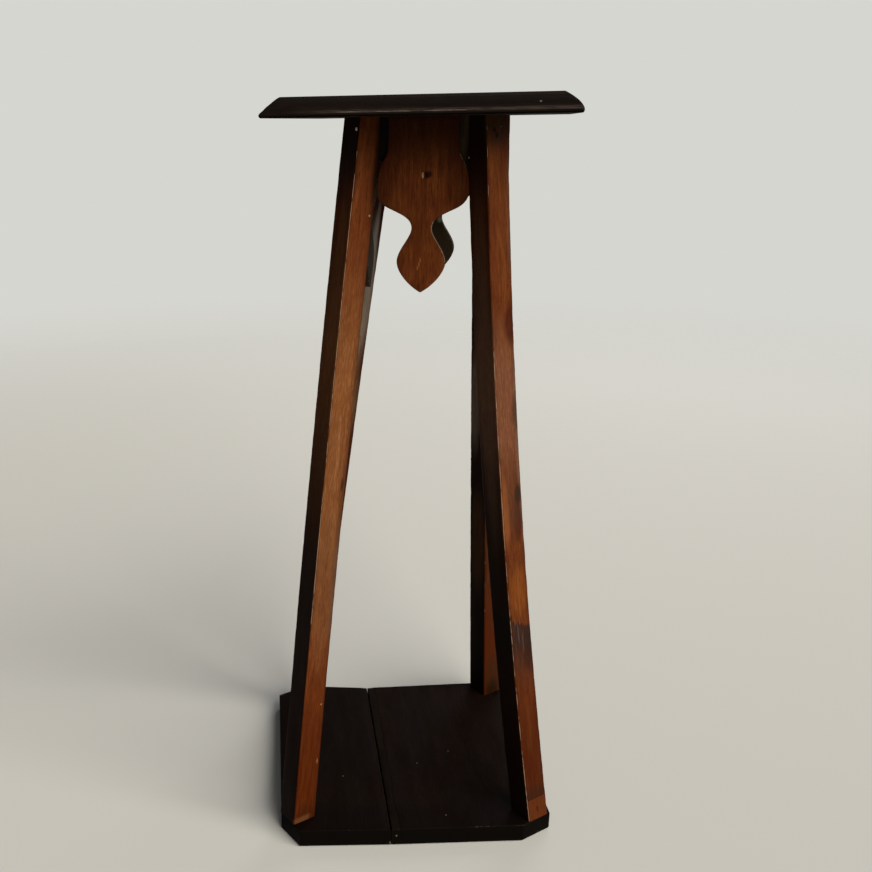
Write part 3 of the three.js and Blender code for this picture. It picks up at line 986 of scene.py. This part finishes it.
def splice_and_scorch(state, height):
    """The front right leg's new foot, and the band above it where it was once burnt."""
    tree = state["tree"]
    splice, top = SPLICE_HEIGHT, SCORCH_TOP
    tint(state, "5e3014", spread(tree, height, splice + 0.6, splice), 0.4)
    above = stretch(tree, height, splice, splice + 1, splice + 3, splice + 20)
    tint(state, "2c180e", above, 0.65)
    line = distance_to(tree, height, splice)
    tint(state, "1c0b06", spread(tree, line, 0.7, 0.2, 0, 0.8))
    ragged = calc(tree, "MULTIPLY_ADD", state["fibre"], 16.0, height)
    ragged = calc(tree, "MULTIPLY_ADD", part(tree, state["place"], 1), 0.4, ragged)
    scorch = stretch(tree, ragged, top - 70, top - 6, top + 5, top + 9)
    tint(state, "1f1a1a", scorch, spread(tree, state["fibre"], 0.36, 0.6, 0.95, 0.72))


def leg_marks(state, marks):
    tree = state["tree"]
    fibrous = spread(tree, state["fibre"], 0.35, 0.6, 0.7, 1.1)
    for face, across, up, half_width, half_height, cover, code in marks:
        x, y = FACES[face]
        centre = (x * LEG_FACE - y * across, y * LEG_FACE + x * across, up)
        radii = (half_width if y else MARK_DEPTH, half_width if x else MARK_DEPTH, half_height)
        tint(state, code, spot_of(state, centre, radii), cover, fibrous)


def leg_wood(name, seed):
    """The front legs have bleached, most at half their height. The faces turned from the window
    light are painted nearly black: painted shade over a darker polish."""
    corner = CORNERS[name]
    state = wood("shellacked_mahogany_leg_" + name, MAHOGANY, seed, corner=corner)
    tree = state["tree"]
    height = part(tree, state["place"], 2)
    delta = WINDOW_SIDE - corner["angle"]
    sunny = Vector((math.cos(delta), math.sin(delta), 0))
    if name in BLEACHED:
        heights, pale = BLEACHED[name]
        bleached = stretch(tree, height, *heights)
        tint(state, pale, bleached, 0.45)
        flecks = spread(tree, streaks(tree, state["bent"], 0.9, 10, 3.0, seed + 13), 0.5, 0.62)
        tint(state, "a47850", bleached, flecks, 0.25)
    else:
        # The back legs are painted darker all over: painted shade, as they stand inside behind the
        # front legs.
        tint(state, "1a0a04", 0.6)
    streaky = streaks(tree, state["bent"], 2.6, 55, 2.0, seed + 29)
    streaky = spread(tree, streaky, 0.42, 0.58, 0.7, 1)
    tint(state, "421701", spread(tree, height, 220, 60, 0, 0.95), streaky)
    if name == "front_right":
        tint(state, "2a1107", 0.18)
    # The pale face darkens towards its back arris, and nearly to black at that arris: painted
    # shade.
    aside = along(state, (-sunny.y, sunny.x, 0))
    tint(state, "37170b", spread(tree, aside, 6, 13, 0, 0.5))
    tint(state, "160a06", spread(tree, aside, 11.6, 13.2, 0, 0.6))
    if name == "front_right":
        splice_and_scorch(state, height)
    # The faces turned from the window light get a near-black colour: painted shade over a darker
    # polish, strongest on the face turned furthest away, near the foot and the head.
    mid_height = stretch(tree, height, 240, 500, 600, 680)
    shady = face_of(state, (sunny.y, -sunny.x, 0))
    dark = calc(tree, "MULTIPLY_ADD", mid_height, -0.34, 0.36)
    dark = calc(tree, "MULTIPLY_ADD", shady, dark, 0.6)
    lit = face_of(state, sunny, FRONT_LEFT_SHORT if name == "front_left" else 0)
    tint(state, "0d0503", calc(tree, "SUBTRACT", 1.0, lit), dark)
    leg_marks(state, LEG_MARKS[name])
    if name == "front_left":
        # Under the top, the back of the front left leg's pale face is painted nearly black: painted
        # shade.
        shaded = spread(tree, aside, 4, 11)
        tint(state, "100604", shaded, spread(tree, height, 590, 650), 0.85)
    return finish_wood(state)


def apron_wood(name, matrix, seed):
    """The outer face is polished. The inner face never was, and is grey with dust."""
    look = {**MAHOGANY, "worn": "86887a"}
    state = wood("shellacked_mahogany_" + name, look, seed, matrix=matrix)
    tree, place = state["tree"], state["place"]
    outer = -apron_thickness / MM
    drop = part(tree, place, 2)
    strokes = spread(tree, streaks(tree, state["bent"], 2.4, 34, 2.0, seed + 19), 0.52, 0.6)
    tint(state, "36160a", strokes, stretch(tree, drop, -86, -70, -46, -30), 0.35)
    tint(state, "341607", stretch(tree, drop, -124, -108, -98, -88), 0.25)
    # Darker towards the top edge, under the top board's overhang: painted shade.
    tint(state, "180904", spread(tree, drop, -68, -12, 0, 0.7))
    aside = calc(tree, "ABSOLUTE", part(tree, place, 0))
    tint(state, "2a1006", spread(tree, aside, 14, 40, 0, 0.65))
    depth = part(tree, place, 1)
    inner = spread(tree, depth, outer + APRON_INSIDE[0], outer + APRON_INSIDE[1])
    tint(state, "27281d", inner, 0.85)
    if name == "apron_front":
        x, z = APRON_DENT["across"] / MM, -APRON_DENT["drop"] / MM
        # Beside the carved dent, a dark patch on its right is painted shadow, and a pale patch on
        # its left is painted light on its lit wall, partly the bare wood of a chip.
        tint(state, "2a1108", spot_of(state, (x + 3, outer, z + 1), (5.6, 4, 5)))
        tint(state, "967860", near(tree, place, (x - 1.6, outer, z), (1.3, 3, 3.6), 0.5))
        for across, up in ((-0.6, -132), (-1.6, -136), (-3, -139.5)):
            tint(state, "94592c", near(tree, place, (across, outer, up), (0.9, 3, 3.2), 0.7), 0.7)
    if name == "apron_back":
        # A pale greenish spot on the inner face: a painted highlight.
        tint(state, "747664", near(tree, place, (-7.6, 0, -104), (3.6, 4, 4.4), 0.7), 0.9)
    return finish_wood(state)


def base_wood(name, seed):
    """Nearly black polish. Old filler and dust lie along the seam, in a band that ends at a crack
    in the polish on the wide board, and the sides of the boards are blacker than their tops."""
    state = wood("dark_polished_mahogany_" + name, DARK_MAHOGANY, seed, matrix=lengthwise)
    tree, place = state["tree"], state["place"]
    tint(state, "070503", 0.42 if name == "narrow" else 0.3)
    tint(state, "040202", spread(tree, part(tree, place, 2), -95, -128, 0, 0.4))
    sway = streaks(tree, place, 400, 40, 2.0, 31.0)
    off_seam = calc(tree, "SUBTRACT", part(tree, place, 0), seam_x / MM)
    off_seam = calc(tree, "MULTIPLY_ADD", sway, -7.0, off_seam)
    filled = stretch(tree, off_seam, -7, -3.4, 3, 6)
    tint(state, "2c281c", filled, spread(tree, state["patina"], 0.4, 0.6, 0, 0.17))
    crack = spread(tree, distance_to(tree, off_seam, 5.2), 1.5, 0.2)
    tint(state, "050302", crack, spread(tree, state["fibre"], 0.42, 0.52, 0.3, 0.8))
    surface = -base_thickness / MM
    tint(state, "060402", spread(tree, part(tree, place, 1), surface + 0.6, surface + 2, 0, 0.9))
    gap = distance_to(tree, part(tree, place, 0), seam_x / MM)
    tint(state, "16140c", spread(tree, gap, 1.8, 0.7, 0, 0.45))
    for spot in BASE_SPOTS:
        tint(state, "8c8468", near(tree, place, spot, (1.1, 1.5, 1.1), 0.6), 0.45)
    return finish_wood(state)


def top_wood(matrix, seed):
    """The same polish as on the base. The worn lower edge is painted all but black: painted shade,
    and above it a soft pale band along the front is a painted highlight. The underside is bare."""
    state = wood("dark_polished_mahogany_top", DARK_MAHOGANY, seed, matrix=matrix)
    tree, place = state["tree"], state["place"]
    band = (top_surface - top_underside - round_over_height) / MM
    height = product(tree, part(tree, place, 0), -1.0)
    tint(state, "1a1a18", 0.3)
    # The lower edge, which turns downward under the round-over, is all but black: painted shade.
    tint(state, "080504", spread(tree, height, band, band - 0.8, 0, 0.85))
    tint(state, "2c2019", spread(tree, height, 0.15, 0.02, 0, 0.8))
    dusty = spread(tree, state["patina"], 0.35, 0.65, 0.1, 0.5)
    tint(state, "36241a", spread(tree, height, 17, 17.9), dusty)
    front = product(tree, part(tree, place, 1), -1.0)
    lengthways = part(tree, place, 2)
    # A soft pale band along the front, over the worn line: a painted highlight, as off the rounded
    # nose.
    rubbed = product(
        tree, stretch(tree, height, band + 0.4, band + 1.6, band + 2.2, band + 5),
        spread(tree, front, 124, 128), spread(tree, lengthways, -125, -50),
        spread(tree, lengthways, 40, 95, 1, 1.3),
        spread(tree, state["fibre"], 0.35, 0.6, 0.12, 0.35),
    )
    tint(state, "6a5c54", rubbed)
    tint(state, "9c9084", near(tree, place, TOP_CHIP, (1.6, 1.3, 1.3), 0.5), 0.6)
    return finish_wood(state)


def plain_wood(name, matrix, colours, roughness, seed):
    """Bare sawn wood, such as glue blocks and dowels: matt, with soft grain lines."""
    material, tree, shader = new_material(name)
    place = grain_frame(tree, matrix)
    lines = streaks(tree, place, 1.2, 30, 3.0, seed)
    stain = streaks(tree, place, 9, 14, 3.0, seed + 5)
    colour = blended(tree, spread(tree, lines, 0.35, 0.65), linear(colours[0]), linear(colours[1]))
    colour = blended(tree, spread(tree, stain, 0.45, 0.7, 0, 0.5), colour, linear(colours[2]))
    bump = add(tree, "ShaderNodeBump", {}, {"Strength": 0.5, "Distance": 0.2 * MM, "Height": lines})
    tree.links.new(colour, shader.inputs["Base Color"])
    tree.links.new(bump.outputs[0], shader.inputs["Normal"])
    shader.inputs["Roughness"].default_value = roughness
    shader.inputs["Specular IOR Level"].default_value = 0.12
    return material


def old_steel(name, clean):
    """Drawn steel, dulled by rust: grey metal with brown bloom that takes the shine away. The
    cleaner it is, the less of it the bloom covers."""
    material, tree, shader = new_material(name)
    at = add(tree, "ShaderNodeTexCoord").outputs["Object"]
    links = {"Vector": at, "Scale": 1 / (1.5 * MM), "Detail": 3.0}
    bloom = add(tree, "ShaderNodeTexNoise", {}, links)
    rust = spread(tree, bloom.outputs["Fac"], clean, clean + 0.16)
    colour = blended(tree, rust, linear("c4c0b8"), linear("2c1b12"))
    tree.links.new(colour, shader.inputs["Base Color"])
    tree.links.new(spread(tree, rust, 0, 1, 0.35, 0.8), shader.inputs["Roughness"])
    tree.links.new(spread(tree, rust, 0, 1, 1, 0.2), shader.inputs["Metallic"])
    return material


# Building the stand

SHADED_PINE = ("0e0b08", "17120c", "080705")
AGED_PINE = ("2e2417", "41331e", "1d1a13")
bright_steel = old_steel("rubbed_steel", 0.66)
dark_steel = old_steel("rusted_steel", 0.2)
for i, (name, corner) in enumerate(CORNERS.items()):
    stick = leg_mesh(corner, i * 7.3)
    add_piece("leg_" + name, "stick", stick, leg_wood(name, i * 5.1))
    steel = bright_steel if name == "front_left" else dark_steel
    add_piece("leg_nail_" + name, "driven", nail_mesh(corner), steel)
    for kind, matrix in (
        ("foot_screw_", foot_screw_matrix(corner)),
        ("block_screw_", block_screw_matrix(corner)),
    ):
        add_piece(kind + name, "driven", screw_mesh(matrix, i * 0.7), dark_steel)
    # The front left block gets a near-black copy of the pine: painted shade.
    tones = SHADED_PINE if name == "front_left" else AGED_PINE
    pine = plain_wood("sawn_pine_" + name, corner_frame(corner), tones, 0.85, i * 3.7)
    add_piece("corner_block_" + name, "glued", block_mesh(corner), pine)

for i, (name, angle) in enumerate(APRONS.items()):
    material = apron_wood(name, apron_frame(angle), 40 + i * 9.7)
    add_piece(name, "board", apron_mesh(name, angle, i * 11.9), material)

for name, seam, ends, seed in (
    ("narrow", narrow_high.x, ("front_left", "back_left"), 3),
    ("wide", wide_low.x, ("front_right", "back_right"), 19),
):
    mesh = base_board_mesh(seam, CORNERS[ends[0]], CORNERS[ends[1]], seed)
    add_piece("base_board_" + name, "planed", mesh, base_wood(name, 70 + seed))

top_grain = top_place @ Matrix.Rotation(quarter_turn, 4, "Y")
add_piece("top_board", "moulded", top_mesh(5), top_wood(top_grain, 96))

across = Matrix.Rotation(quarter_turn, 4, "Y")
beech = plain_wood("turned_beech", across, ("b08a58", "c9a673", "9a7648"), 0.7, 2.0)
for number, row in enumerate(DOWEL_ROWS, 1):
    add_piece(f"base_dowel_{number}", "turned", dowel_mesh(row, 0), beech)

# Floor, light and camera

FLOOR_COLOUR = "d6d8d4"
FLOOR_RADIUS = 6.0


def floor():
    bm = bmesh.new()
    bmesh.ops.create_circle(bm, cap_ends=True, segments=96, radius=FLOOR_RADIUS)
    ground = place_object("floor", finish_mesh(bm, "floor"))
    material, tree, shader = new_material("matt_pale_floor")
    shader.inputs["Base Color"].default_value = linear(FLOOR_COLOUR)
    shader.inputs["Roughness"].default_value = 0.9
    shader.inputs["Specular IOR Level"].default_value = 0.1
    at = add(tree, "ShaderNodeTexCoord").outputs["Object"]
    distance = add(tree, "ShaderNodeVectorMath", {"operation": "LENGTH"}, {0: at}).outputs["Value"]
    clear = add(tree, "ShaderNodeBsdfTransparent")
    far = spread(tree, distance, 1.2, 3.5)
    mix = add(tree, "ShaderNodeMixShader", {}, {0: far, 1: shader.outputs[0], 2: clear.outputs[0]})
    out = next(n for n in tree.nodes if n.type == "OUTPUT_MATERIAL")
    tree.links.new(mix.outputs[0], out.inputs["Surface"])
    ground.data.materials.append(material)


def room():
    """Even, dim light from all round, with a pale backdrop for the camera and for reflections."""
    world = bpy.data.worlds.new("studio")
    bpy.context.scene.world = world
    world.use_nodes = True
    tree = world.node_tree
    tree.nodes.clear()
    light = add(tree, "ShaderNodeBackground", {}, {"Color": linear("ffffff"), "Strength": 0.10})
    seen = add(tree, "ShaderNodeBackground", {}, {"Color": linear("d6d6d0"), "Strength": 1.0})
    rays = add(tree, "ShaderNodeLightPath").outputs
    shown = calc(tree, "MAXIMUM", rays["Is Camera Ray"], rays["Is Transmission Ray"])
    glossy = product(tree, rays["Is Glossy Ray"], 0.18)
    share = calc(tree, "MAXIMUM", shown, glossy)
    mix = add(tree, "ShaderNodeMixShader", {}, {0: share, 1: light.outputs[0], 2: seen.outputs[0]})
    add(tree, "ShaderNodeOutputWorld", {}, {"Surface": mix.outputs[0]})


def soft_light(kind, name, place, aim, power, colour, settings):
    """A wide lamp, such as a window or a screen, that looks from its place to its aim."""
    lamp = bpy.data.lights.new(name, kind)
    lamp.energy = power
    lamp.color = linear(colour)[:3]
    for key, value in settings.items():
        setattr(lamp, key, value)
    made = bpy.data.objects.new(name, lamp)
    made.location = place
    made.rotation_euler = (Vector(aim) - Vector(place)).to_track_quat("-Z", "Y").to_euler()
    bpy.context.scene.collection.objects.link(made)


def camera():
    """The photograph's view, worked out from the stand's edges: its frame is cut off-centre."""
    pitch, roll = math.radians(16.79), math.radians(-0.96)
    focal_px, frame_px, centre_px = 1034.55, 872, 275.93
    sensor = 36.0
    lens = bpy.data.cameras.new("photo_camera")
    lens.sensor_width = sensor
    lens.lens = focal_px / frame_px * sensor
    lens.shift_x = (frame_px / 2 - centre_px) / frame_px
    lens.clip_start, lens.clip_end = 0.05, 40
    eye = bpy.data.objects.new("photo_camera", lens)
    tilt = Matrix.Rotation(roll, 3, "Y") @ Matrix.Rotation(pitch, 3, "X")
    right, ahead, up = tilt[0], tilt[1], tilt[2]
    turn = Matrix((right, up, -ahead)).transposed()
    eye.matrix_world = Matrix.Translation((-0.139, -1.05178, 0.71729)) @ turn.to_4x4()
    bpy.context.scene.collection.objects.link(eye)
    bpy.context.scene.camera = eye


floor()
room()
soft_light(
    "SUN", "window_light", (2.0, -2.3, 2.0), (0, 0, 0), 3.9, "fff6ea",
    {"angle": math.radians(60)},
)
soft_light(
    "AREA", "back_light", (1.2, 2.2, 1.9), (0, 0, 0.4), 14, "f6f6ff",
    {"shape": "DISK", "size": 1.6},
)
camera()
bpy.context.scene.view_settings.view_transform = "Standard"
